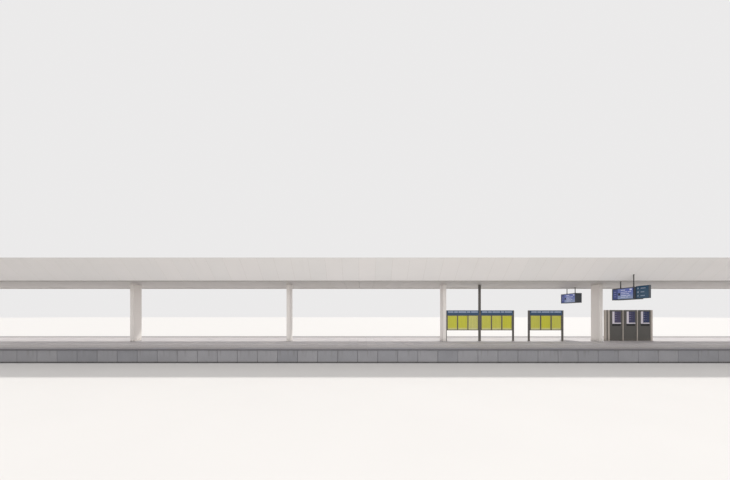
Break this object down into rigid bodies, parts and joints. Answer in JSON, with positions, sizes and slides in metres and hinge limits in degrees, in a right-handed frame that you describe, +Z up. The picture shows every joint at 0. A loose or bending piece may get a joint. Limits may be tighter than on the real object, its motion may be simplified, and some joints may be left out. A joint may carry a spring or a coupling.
{
  "type": "scale model of a railway station platform with canopy",
  "caption": "Half-size island railway platform with edge walls, paving, blade columns and a folded panel canopy, with notice boards, ticket machines and hanging displays.",
  "frame": {"origin": "middle of the underside of the platform, on the ground beside the track", "axes": "+X along the track, +Y across the platform away from the near track, +Z up"},
  "size_m": [32.16, 5, 2.92],
  "materials": {
    "cladding": "satin off-white coated panels",
    "column_paint": "satin off-white paint",
    "concrete": "precast concrete, fair faced",
    "coping": "smooth concrete slabs",
    "dark_frame": "dark grey powder coat",
    "display_case": "dark blue-grey powder coat",
    "fill": "compacted fill",
    "header_blue": "matt blue coat",
    "machine_dark": "dark brown powder coat",
    "notice_yellow": "yellow sheet behind a clear cover",
    "paving": "square concrete pavers",
    "post_pale": "pale beige powder coat",
    "roofing": "mill finish sheet",
    "screen": "dark violet display glass",
    "steel": "grey primer",
    "trim": "dark grey coated trim"
  },
  "bodies": {
    "root": {"canopy_end_left": "cladding", "canopy_end_right": "cladding", "capping": "cladding", "cladding_rails": "steel", "column_1": "column_paint", "column_2": "column_paint", "column_3": "column_paint", "column_4": "column_paint", "column_5": "column_paint", "column_6": "column_paint", "column_frames": "steel", "display_a": "display_case", "display_b": "display_case", "display_rods": "dark_frame", "drip_edges": "trim", "edge_slabs_front": "coping", "edge_slabs_rear": "coping", "edge_wall_front": "concrete", "edge_wall_rear": "concrete", "end_wall_left": "concrete", "end_wall_right": "concrete", "fascia_front": "cladding", "fascia_rear": "cladding", "light_housings": "trim", "machine_posts": "post_pale", "machine_screens": "screen", "main_paving": "paving", "notice_board_1": "dark_frame", "notice_board_2": "dark_frame", "notice_board_3": "dark_frame", "notice_headers": "header_blue", "notice_sheets": "notice_yellow", "platform_fill": "fill", "roof_front": "roofing", "roof_rear": "roofing", "screen_brackets": "post_pale", "service_post": "dark_frame", "side_sign": "display_case", "soffit_panels": "cladding", "span_frames": "steel", "spine_beam": "steel", "ticket_machines": "machine_dark", "valley_gutter": "roofing"}
  },
  "joints": []
}
